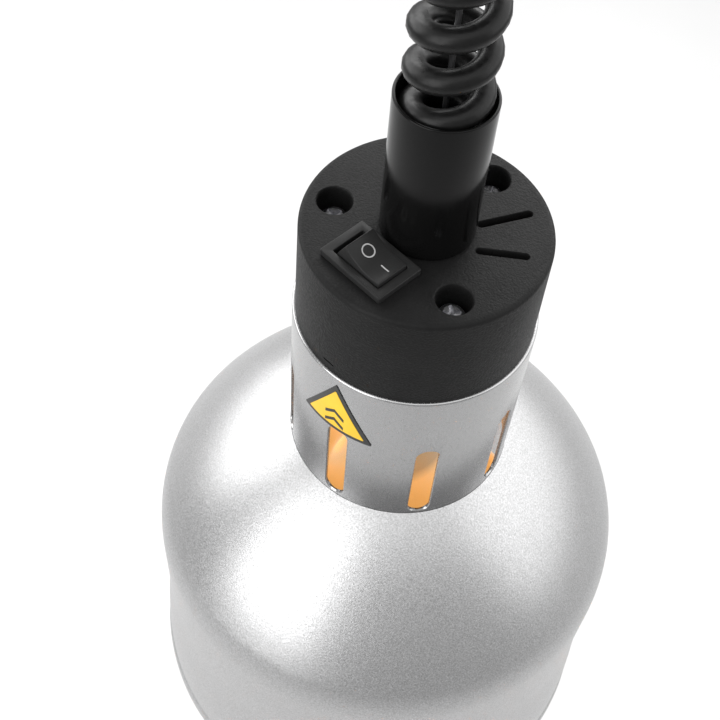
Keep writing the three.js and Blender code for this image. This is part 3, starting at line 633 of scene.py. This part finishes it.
def make_canopy():
    foot = low("canopy")
    r = high("canopy", 0)
    inner_r, inner_foot = r - CANOPY_WALL, foot + CANOPY_WALL
    outer = [(GLAND_HOLE_R, foot), (r, foot), (r, CANOPY_TOP)]
    outer += [(inner_r, CANOPY_TOP), (inner_r, inner_foot), (GLAND_HOLE_R, inner_foot)]
    shell = turned("canopy_shell", rounded(outer, [0.4, 9, 0.3, 0.3, 7.5, 0.4], 12), 160)
    finish_piece(shell, "ceiling", "black_enamel", "canopy")

    for i, side in enumerate((-1, 1)):
        name = f"canopy_screw_{i + 1}"
        screw = screw_piece(name + "_body", head_r=4.6, head_h=4, shank_r=2, shank_l=6.5)
        face = side * (r + 0.3)
        turn = Matrix.Rotation(side * math.pi / 2, 4, "Y")
        screw.data.transform(Matrix.Translation((face * MM, 0, CANOPY_SCREW_Z * MM)) @ turn)
        finish_piece(screw, "ceiling", "zinc_steel", name)

    gland_foot = low("canopy_gland")
    ball_foot = PIVOT_Z - 10.5
    gland = [(20.0, PIVOT_Z + 8), (16.6, PIVOT_Z + 8), (18.1, PIVOT_Z), (16.2, gland_foot)]
    gland += [(22.5, ball_foot), (24.5, PIVOT_Z - 8.5), (24.5, foot - 0.3), (20.0, foot - 0.3)]
    radii = [0.3, 0.3, 9, 0.3, 0.8, 1.2, 0.6, 0.2]
    piece = turned("canopy_gland_ring", rounded(gland, radii, 8), 96)
    finish_piece(piece, "ceiling", "black_plastic", "canopy_gland")


def make_ball():
    r, zone = 16.0, 10.0  # the ball's radius, and how far its round part reaches from the pivot
    mouth = SPOUT_MOUTH
    arc = []
    for k in range(25):
        z = -zone + 2 * zone * k / 24
        arc.append((math.sqrt(r * r - z * z), PIVOT_Z + z))
    bore = 8.2
    outline = [(bore, mouth + 0.8), (bore + 0.8, mouth), (10.0, mouth), (10.6, mouth + 0.8)]
    outline += [(11.2, PIVOT_Z - 11)] + arc + [(bore, PIVOT_Z + zone)]
    ball = turned("swivel_ball_body", outline, 96)
    finish_piece(ball, "suspension", "gloss_black", "swivel_ball")


# ---------------------------------------------------------------- screws
SCREW_SMOOTH_ANGLE = 28  # degrees


def screw_piece(name, head_r, head_h, shank_r, shank_l):
    """A pan-head screw with a cross recess. Its head stands on z = 0 and its shank hangs below."""
    dome = [(0, 1), (0.55, 0.97), (0.86, 0.72), (1, 0.3)]
    outline = [(head_r * across, head_h * up) for across, up in dome]
    outline += [(head_r, 0), (shank_r, 0)]
    thread_pitch, root_r = 0.9, shank_r * 0.84
    turns = max(int(shank_l / thread_pitch), 1)
    for k in range(turns):
        z = -shank_l * (k + 0.5) / turns
        outline += [(root_r, z + 0.2), (shank_r, z), (root_r, z - 0.2)]
    outline += [(shank_r * 0.6, -shank_l), (0, -shank_l)]
    screw = turned(name, outline, 40, angle=SCREW_SMOOTH_ANGLE)

    slot = stadium(head_r * 1.25, head_r * 0.26)
    for turn in (0, 90):
        arm = Matrix.Rotation(math.radians(turn), 4, "Z")
        floor, above = head_h * 0.45, head_h + 1
        cut(screw, lambda bm: add_extruded(bm, slot, floor, above, arm), SCREW_SMOOTH_ANGLE)
    return screw


# ---------------------------------------------------------------- cap
CAP_R = 35.0
CAP_FOOT_R = 35.4
CAP_TOP_T = 2.6
SPIGOT_R = 11.4
CAP_WALL = 2.2
SCREW_CIRCLE_R = 26.2
SCREW_ANGLES = [math.radians(a) for a in (90, 210, 330)]
SCREW_PLACES = [(SCREW_CIRCLE_R * math.cos(a), SCREW_CIRCLE_R * math.sin(a)) for a in SCREW_ANGLES]
POST_R = 4.0
POST_BORE_R = 2.3
WELL_R = 5.0
WELL_DEPTH = 9.6
FAN_Y = -9.4
VENT_W = 2.2
# Each vent's angle about the fan's centre, with where it starts and ends.
VENTS = [(40, 19.5, 34), (65, 21.5, 37.8), (115, 21.5, 37.8), (140, 19.5, 34)]
NOTCH_ANGLE = math.radians(-89.3)
NOTCH_HEIGHT = 3.9  # above the cap's foot
SWITCH_HOLE_L = 19.9
SWITCH_HOLE_W = 14


def add_chamfered_hole(bm, x, y, r, floor, top, edge=0.45):
    outline = [(0, floor), (r - 0.15, floor), (r, top - edge), (r + edge * 0.4, top - edge * 0.35)]
    outline += [(r + edge * 1.2, top + 0.15), (r + edge * 1.2, top + 2), (0, top + 2)]
    add_turned(bm, outline, 48, (x, y), closed=False)


def add_flared_slot(bm, length, width, levels, matrix):
    """A round-ended slot's cutter along local X. At each [z, extra] level it is larger by extra."""
    rings = []
    for z, extra in levels:
        outline = stadium(length + extra, width + extra)
        rings.append([bm.verts.new(matrix @ Vector((x, y, z))) for x, y in outline])
    join_rings(bm, rings)


def add_vent(bm, angle, near, far):
    place_it = Matrix.Translation((0, FAN_Y, 0)) @ Matrix.Rotation(math.radians(angle), 4, "Z")
    place_it = place_it @ Matrix.Translation(((near + far) / 2, 0, 0))
    levels = [(CAP_Z - CAP_TOP_T - 2, 0), (CAP_Z - 0.45, 0), (CAP_Z - 0.15, 0.12)]
    levels += [(CAP_Z + 0.1, 0.5), (CAP_Z + 2, 0.5)]
    add_flared_slot(bm, far - near, VENT_W, levels, place_it)


def make_cap():
    top, foot, hole = CAP_Z, CAP_FOOT, SPIGOT_R + 0.3
    inner = top - CAP_TOP_T
    outline = [(hole, top), (CAP_R, top), (CAP_FOOT_R, foot), (CAP_FOOT_R - CAP_WALL, foot)]
    outline += [(CAP_R - CAP_WALL, inner), (hole, inner)]
    cap = turned("cap_moulding", rounded(outline, [0.4, 1.7, 0.35, 0.3, 1, 0.2], 8), 192)
    cut(cap, lambda bm: [add_chamfered_hole(bm, *at, WELL_R, top - 8, top) for at in SCREW_PLACES])
    cut(cap, lambda bm: [add_vent(bm, *vent) for vent in VENTS])
    window = box_outline(SWITCH_HOLE_L, SWITCH_HOLE_W, 0.8, (0, SWITCH_Y))
    cut(cap, lambda bm: add_extruded(bm, window, inner - 3, top + 3))
    notch = Matrix.Translation((CAP_FOOT_R, 0, foot + NOTCH_HEIGHT))
    notch = Matrix.Rotation(NOTCH_ANGLE, 4, "Z") @ notch
    cut(cap, lambda bm: add_extruded(bm, box_outline(1.2, 4, 0.1), -0.3, 0.3, notch))
    finish_piece(cap, "lamp_head", "black_plastic", "cap")
    make_wells(top - WELL_DEPTH, inner)
    make_cap_screws(top - WELL_DEPTH + 0.3)


def make_wells(floor, inner):
    """The cups that the cap's screws sit in, and the posts under them."""
    bm = bmesh.new()
    bore, outside = POST_BORE_R, WELL_R + 1.6
    for x, y in SCREW_PLACES:
        wall = [(bore, floor), (WELL_R - 0.1, floor), (WELL_R, floor + 0.3), (WELL_R, inner + 0.5)]
        wall += [(outside, inner + 0.5), (outside, floor - 3), (bore, floor - 3)]
        add_turned(bm, wall, 48, (x, y))
        post_top, post_foot = floor - 2.5, CAP_FOOT + 0.3
        post = [(bore, post_top), (POST_R, post_top), (POST_R, post_foot), (bore, post_foot)]
        add_turned(bm, post, 32, (x, y))
    wells = from_bmesh("cap_screw_wells", bm)
    finish_piece(wells, "lamp_head", "black_plastic")


def make_cap_screws(seat):
    for i, (x, y) in enumerate(SCREW_PLACES):
        name = f"cap_screw_{i + 1}"
        shank_l = seat - low(name)
        screw = screw_piece(name + "_body", head_r=4.3, head_h=3.8, shank_r=2, shank_l=shank_l)
        screw.data.transform(Matrix.Rotation(0.5 + i, 4, "Z"))
        screw.data.transform(Matrix.Translation((x * MM, y * MM, seat * MM)))
        finish_piece(screw, "lamp_head", "zinc_steel", name)


def make_sleeve():
    bore = SLEEVE_R - 0.9
    foot, top = CAP_Z + 0.15, SLEEVE_TOP
    spigot_bore, spigot_foot = SPIGOT_R - 1.5, low("cord_sleeve")
    outline = [(SPIGOT_R, foot), (SLEEVE_R, foot), (SLEEVE_R, top), (bore, top), (bore, CAP_Z + 3)]
    outline += [(spigot_bore, CAP_Z + 3), (spigot_bore, spigot_foot), (SPIGOT_R, spigot_foot)]
    radii = [0.1, 0.5, 0.42, 0.42, 1, 0.3, 0.3, 0.3]
    sleeve = turned("cord_sleeve_tube", rounded(outline, radii, 6), 128)
    finish_piece(sleeve, "lamp_head", "gloss_black", "cord_sleeve")


# ---------------------------------------------------------------- rocker switch
BEZEL_L = 22.4
BEZEL_W = 15.4
BODY_L = 19.3
BODY_W = 13.4
CAVITY_L = 18.3
CAVITY_W = 12.2
ROCKER_L = 13.2
ROCKER_FOOT_L = 16.0
ROCKER_W = 10.2
ROCKER_END_H = 6.9
ROCKER_MIDDLE_H = 5.3
ROCKER_TILT = math.radians(16)
ROCKER_Z = CAP_Z - 1.5


def make_switch_housing():
    base = CAP_Z + 0.1
    window = box_outline(ROCKER_FOOT_L + 1, ROCKER_W + 0.7, 0.5, (0, SWITCH_Y))
    frame_line = box_outline(BEZEL_L, BEZEL_W, 0.5, (0, SWITCH_Y))
    bezel = extruded("switch_bezel", frame_line, base, BEZEL_TOP)
    cut(bezel, lambda bm: add_extruded(bm, window, base - 1, BEZEL_TOP + 1))
    finish_piece(bevelled(bezel, 0.3, 4), "lamp_head", "switch_black", "switch_housing")

    body_foot = CAP_Z - 14
    body_line = box_outline(BODY_L, BODY_W, 0.8, (0, SWITCH_Y))
    body = extruded("switch_body", body_line, body_foot, base + 0.2)
    cavity = box_outline(CAVITY_L, CAVITY_W, 0.4, (0, SWITCH_Y))
    cut(body, lambda bm: add_extruded(bm, cavity, body_foot + 1.5, base + 2))
    finish_piece(bevelled(body, 0.2, 2), "lamp_head", "switch_black")


def face_curve(count):
    """Half of the paddle's face, from its raised end to the middle, as [distance, height]."""
    half = ROCKER_L / 2
    controls = [(half, ROCKER_END_H), (half / 2, ROCKER_MIDDLE_H), (0, ROCKER_MIDDLE_H)]
    return curve_points(controls, count)


def face_height(x):
    """The face's height above the pivot at a distance from the middle."""
    curve = face_curve(40)
    for (x1, z1), (x0, z0) in zip(curve, curve[1:]):
        if x0 <= abs(x) <= x1:
            return z0 + (z1 - z0) * (abs(x) - x0) / (x1 - x0)
    return ROCKER_END_H


def make_paddle():
    foot, foot_h, belly_r = ROCKER_FOOT_L / 2, 1.0, 6.5
    profile = [(-foot, foot_h)]
    for k in range(13):
        a = math.radians(200 + 140 * k / 12)
        profile.append((belly_r * math.cos(a), belly_r * math.sin(a)))
    profile.append((foot, foot_h))
    face = face_curve(10)
    profile += face + [(-x, z) for x, z in reversed(face[:-1])]
    bm = bmesh.new()
    add_extruded(bm, profile, -ROCKER_W / 2, ROCKER_W / 2, Matrix.Rotation(math.pi / 2, 4, "X"))
    paddle = bevelled(from_bmesh("switch_paddle", bm, 50), 0.25, 3, 30)
    swing = Matrix.Translation((0, SWITCH_Y * MM, ROCKER_Z * MM))
    swing = swing @ Matrix.Rotation(ROCKER_TILT, 4, "Y")
    paddle.data.transform(swing)
    finish_piece(paddle, "rocker", "switch_black", "switch_rocker")
    make_marks(swing)


def make_marks(swing):
    """The off and on marks printed on the paddle: a ring and a bar."""
    bm = bmesh.new()
    ring_x, ring_r, stroke = -2.6, 1.75, 0.36
    bar_x, bar_l, lift = 2.5, 2.7, 0.02
    count = 48
    rows = []
    for r in (ring_r - stroke / 2, ring_r + stroke / 2):
        row = []
        for k in range(count):
            x, y = ring_x + r * math.cos(TAU * k / count), r * math.sin(TAU * k / count)
            row.append(bm.verts.new((x, y, face_height(x) + lift)))
        rows.append(row)
    for k in range(count):
        j = (k + 1) % count
        bm.faces.new((rows[0][k], rows[1][k], rows[1][j], rows[0][j]))
    bar = [[], []]
    for k in range(9):
        x = bar_x + bar_l * k / 8
        for side in (0, 1):
            bar[side].append(bm.verts.new((x, (side - 0.5) * stroke, face_height(x) + lift)))
    for k in range(8):
        bm.faces.new((bar[0][k], bar[0][k + 1], bar[1][k + 1], bar[1][k]))
    marks = from_bmesh("switch_marks", bm)
    marks.data.transform(swing)
    thick = marks.modifiers.new("thick", "SOLIDIFY")
    thick.thickness = 0.05 * MM
    finish_piece(applied(marks), "rocker", "switch_black", look="mark_white")


# ---------------------------------------------------------------- collar and label
COLLAR_WALL = 1.0
COLLAR_VENTS = 8
COLLAR_VENT_PHASE = math.radians(-35)
COLLAR_VENT_W = 6.8
COLLAR_VENT_H = 36.0
LABEL_ANGLE = math.radians(-82.2)
LABEL_SIDE = 26.0
LABEL_TOP_DROP = 1.9


def make_collar():
    top, foot = COLLAR_TOP, COLLAR_FOOT
    inner = COLLAR_R - COLLAR_WALL
    lip = inner - 3.6
    flange_r, flange_foot = 41.5, low("collar")
    outline = [(COLLAR_R, top), (lip, top), (lip, top - COLLAR_WALL), (inner, top - COLLAR_WALL)]
    outline += [(inner, foot - 2.9), (flange_r - 0.4, flange_foot)]
    outline += [(flange_r, flange_foot + 1.2), (COLLAR_R, foot - 1.7)]
    collar = turned("collar_tube", rounded(outline, [0.8, 0.2, 0.2, 0.4, 1, 0.2, 0.2, 1], 6), 240)
    middle = foot + 1.2 + COLLAR_VENT_H / 2
    past, rim, flare = 6, 0.5, 0.8
    levels = [(COLLAR_R - past, 0), (COLLAR_R - rim, 0)]
    levels += [(COLLAR_R - 0.05, flare), (COLLAR_R + past, flare)]

    def vents(bm):
        for i in range(COLLAR_VENTS):
            a = COLLAR_VENT_PHASE + TAU * i / COLLAR_VENTS
            lay = Matrix.Rotation(a, 4, "Z") @ Matrix.Translation((0, 0, middle))
            lay = lay @ Matrix.Rotation(math.pi / 2, 4, "Y")
            add_flared_slot(bm, COLLAR_VENT_H, COLLAR_VENT_W, levels, lay)

    cut(collar, vents)
    finish_piece(collar, "lamp_head", "silver_collar", "collar")


def wrapped_patch(name, outline, r, thickness):
    """A flat outline of [x, y] points about the label's apex, laid round the collar at radius r."""
    bm = bmesh.new()
    verts = [bm.verts.new((x, y, 0)) for x, y in outline]
    bm.faces.new(verts)
    xs = [x for x, y in outline]
    step = 0.8
    lines = int((max(xs) - min(xs)) / step)
    for k in range(1, lines):
        x = min(xs) + (max(xs) - min(xs)) * k / lines
        geometry = bm.verts[:] + bm.edges[:] + bm.faces[:]
        bmesh.ops.bisect_plane(bm, geom=geometry, plane_co=(x, 0, 0), plane_no=(1, 0, 0))
    apex = CAP_FOOT - LABEL_TOP_DROP
    for v in bm.verts:
        a = LABEL_ANGLE + v.co.x / r
        v.co = Vector((r * math.cos(a), r * math.sin(a), apex + v.co.y))
    patch = from_bmesh(name, bm)
    modifier = patch.modifiers.new("thick", "SOLIDIFY")
    modifier.thickness = thickness * MM
    modifier.offset = 1
    return applied(patch)


def triangle(side, drop, radius):
    height = side * math.sqrt(3) / 2
    corners = [(0, -drop), (-side / 2, -drop - height), (side / 2, -drop - height)]
    return rounded_flat(corners, radius, 6)


def make_label():
    r = COLLAR_R + 0.1
    border = 1.5
    backing = wrapped_patch("label_backing", triangle(LABEL_SIDE, 0, 1.0), r, 0.12)
    finish_piece(backing, "lamp_head", "label_yellow", "hot_surface_label", look="label_dark")
    inset = LABEL_SIDE - border * 2 * math.sqrt(3)
    face = wrapped_patch("label_face", triangle(inset, border * 2, 0.7), r + 0.14, 0.08)
    finish_piece(face, "lamp_head", "label_yellow")
    drop = LABEL_SIDE * 0.47
    wide, tall, stroke, apart = 3.4, 2.6, 1.5, 4.2
    for k in range(2):
        y = -drop - k * apart
        chevron = [(-wide, y - tall), (0, y), (wide, y - tall)]
        chevron += [(wide, y - tall - stroke), (0, y - stroke), (-wide, y - tall - stroke)]
        mark = wrapped_patch(f"label_chevron_{k + 1}", chevron, r + 0.24, 0.05)
        finish_piece(mark, "lamp_head", "label_yellow", look="label_dark")


# ---------------------------------------------------------------- shade
DOME_H = 51.5
SKIRT_R = 83.8
DOME_BULGE = 5.0
SHOULDER = 9.0
MOUTH_R = 86.9
BEAD = 0.9
BEAD_H = 8.0
SHADE_WALL = 0.8
STRAIGHT_SHARE = 0.4  # of the skirt, above its flare


def shade_line():
    """The shade's outer line, from the collar to the mouth."""
    top_r, top_z = COLLAR_R + 0.08, COLLAR_FOOT
    edge_z = top_z - DOME_H
    across = SKIRT_R - top_r
    chord = math.hypot(across, DOME_H)
    out_r, out_z = DOME_H / chord, across / chord
    line = []
    for k in range(33):
        t = (1 - SHOULDER / chord) * k / 32
        lift = 4 * DOME_BULGE * t * (1 - t)
        line.append((top_r + across * t + out_r * lift, top_z - DOME_H * t + out_z * lift))
    line += curve_points([line[-1], (SKIRT_R, edge_z + 1), (SKIRT_R, edge_z - SHOULDER)], 12)[1:]
    bead_top = SHADE_FOOT + BEAD_H
    flare_top = edge_z - STRAIGHT_SHARE * (edge_z - bead_top)
    for k in range(17):
        t = k / 16
        flare = (MOUTH_R - SKIRT_R) * t * t * (3 - 2 * t)
        line.append((SKIRT_R + flare, flare_top + (bead_top - flare_top) * t))
    middle = SHADE_FOOT + BEAD_H / 2 - 0.5
    out = MOUTH_R + BEAD
    controls = [line[-1], (out, bead_top - 1.0), (out + 0.1, middle), (out - 0.2, SHADE_FOOT)]
    line += curve_points(controls, 10)[1:]
    return line


def moved_in(line, wall):
    out = []
    for i, (r, z) in enumerate(line):
        r0, z0 = line[max(i - 1, 0)]
        r1, z1 = line[min(i + 1, len(line) - 1)]
        length = math.hypot(r1 - r0, z1 - z0)
        out.append((r + wall * (z1 - z0) / length, z - wall * (r1 - r0) / length))
    return out


def make_shade():
    outer = shade_line()
    inner = moved_in(outer, SHADE_WALL)
    inner[0] = (COLLAR_R + 0.08, outer[0][1] - SHADE_WALL)
    rim = [(outer[-1][0] - 0.15, SHADE_FOOT), (inner[-1][0] + 0.15, SHADE_FOOT)]
    shade = turned("shade_shell", outer[:-1] + rim + list(reversed(inner[:-1])), 256, angle=50)
    finish_piece(shade, "lamp_head", "silver_shade", "shade")


# ---------------------------------------------------------------- lamp holder and bulb
def make_holder():
    r, bore, hole, socket_depth = 19.5, 14.6, 8.0, 30
    outline = [(hole, HOLDER_TOP), (r - 3, HOLDER_TOP), (r, HOLDER_TOP - 9), (r, HOLDER_FOOT)]
    outline += [(bore, HOLDER_FOOT), (bore, HOLDER_FOOT + socket_depth)]
    outline.append((hole, HOLDER_FOOT + socket_depth))
    holder = turned("lamp_holder_body", rounded(outline, [0.5, 3, 5, 1.6, 0.6, 0.5, 0.5], 8), 96)
    finish_piece(holder, "lamp_head", "white_ceramic", "lamp_holder")


def bulb_line():
    neck, wide = 15.0, BULB_R
    top, foot = BULB_TOP, BULB_FOOT
    face = foot + 38
    cone = [(neck, top), (neck, top - 34), (24, top - 52)]
    cone += [(wide - 9, face + 24), (wide, face + 13), (wide, face)]
    line = curve_points(cone[:3], 12)
    line += curve_points([cone[2], (34, top - 66), cone[3]], 8)[1:]
    line += curve_points([cone[3], cone[4], cone[5]], 8)[1:]
    line += curve_points([(wide, face), (wide, face - 16), (wide * 0.62, foot), (0, foot)], 20)[1:]
    return line


def make_bulb():
    outer = bulb_line()
    wall, face_points = 1.1, 12
    inner = [(max(r - wall, 0), z) for r, z in outer]
    face_from = len(inner) - face_points
    inner = [(r, z + (wall if i > face_from else 0)) for i, (r, z) in enumerate(inner)]
    shell = turned("bulb_envelope", outer + list(reversed(inner)), 128, angle=60)
    finish_piece(shell, "lamp_head", "bulb_glass", "bulb_glass")


make_canopy()
make_ball()
make_cap()
make_sleeve()
make_switch_housing()
make_paddle()
make_collar()
make_label()
make_shade()
make_holder()
make_bulb()


# ---------------------------------------------------------------- materials of the carried-over CAD
for part in frame["record"]["subparts"]:
    cad = frame["nodes"][part["node"]]
    cad.data.materials.clear()
    cad.data.materials.append(MATERIALS[part["material_slot"]])


# ---------------------------------------------------------------- stage and light
FLOOR_Z = -1.15  # in metres, as the lights' places and sizes are
FLOOR_HALF = 6.0


def make_floor():
    bm = bmesh.new()
    corners = ((-1, -1), (1, -1), (1, 1), (-1, 1))
    bm.faces.new([bm.verts.new((x * FLOOR_HALF, y * FLOOR_HALF, FLOOR_Z)) for x, y in corners])
    mesh = bpy.data.meshes.new("floor")
    bm.to_mesh(mesh)
    bm.free()
    floor = new_object("floor", mesh)
    pale = material("floor_pale", (0.57,) * 3, 0.9, Specular_IOR_Level=0.1)
    into(pale, ramp(pale, noise(pale, 300, 2), shades((0.56,) * 3, (0.58,) * 3)), "Base Color")
    floor.data.materials.append(pale)


def softbox(name, azimuth, elevation, distance, size, power):
    """A rectangular light, seen from the lamp head at that azimuth and elevation in degrees."""
    aim = Vector((0, 0, CAP_Z * MM))
    a, e = math.radians(azimuth), math.radians(elevation)
    back = Vector((math.sin(a) * math.cos(e), -math.cos(a) * math.cos(e), math.sin(e)))
    data = bpy.data.lights.new(name, "AREA")
    data.shape = "RECTANGLE"
    data.size, data.size_y = size
    data.energy = power
    light = bpy.data.objects.new(name, data)
    turn = back.to_track_quat("Z", "Y").to_matrix().to_4x4()
    light.matrix_world = Matrix.Translation(aim + back * distance) @ turn
    bpy.context.scene.collection.objects.link(light)


def glow(name, place_mm, radius, power, color):
    data = bpy.data.lights.new(name, "POINT")
    data.energy = power
    data.color = color
    data.shadow_soft_size = radius * MM
    light = bpy.data.objects.new(name, data)
    light.location = Vector(place_mm) * MM
    bpy.context.scene.collection.objects.link(light)
    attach(light, "lamp_head")


def make_lights():
    world = bpy.data.worlds.new("studio")
    world.use_nodes = True
    background = world.node_tree.nodes["Background"]
    background.inputs["Color"].default_value = (1, 1, 1, 1)
    background.inputs["Strength"].default_value = 0.58
    bpy.context.scene.world = world
    bpy.context.scene.view_settings.view_transform = "Standard"
    facing = math.degrees(CAMERA_AZIMUTH)
    softbox("key", facing - 42, 18, 1.3, (1.0, 1.3), 13.5)
    softbox("overhead", facing + 15, 66, 1.5, (1.7, 1.5), 8)
    softbox("rim_left", facing - 118, 16, 1.5, (1.6, 1.1), 18)
    softbox("rim_right", facing + 112, 24, 1.5, (3.0, 1.8), 26)
    softbox("back", facing + 180, 31, 1.6, (2.0, 0.8), 24)
    glow("bulb_glow", (0, 0, BULB_FOOT + 60), 20, 0.6, (1.0, 0.45, 0.12))


make_floor()
make_lights()
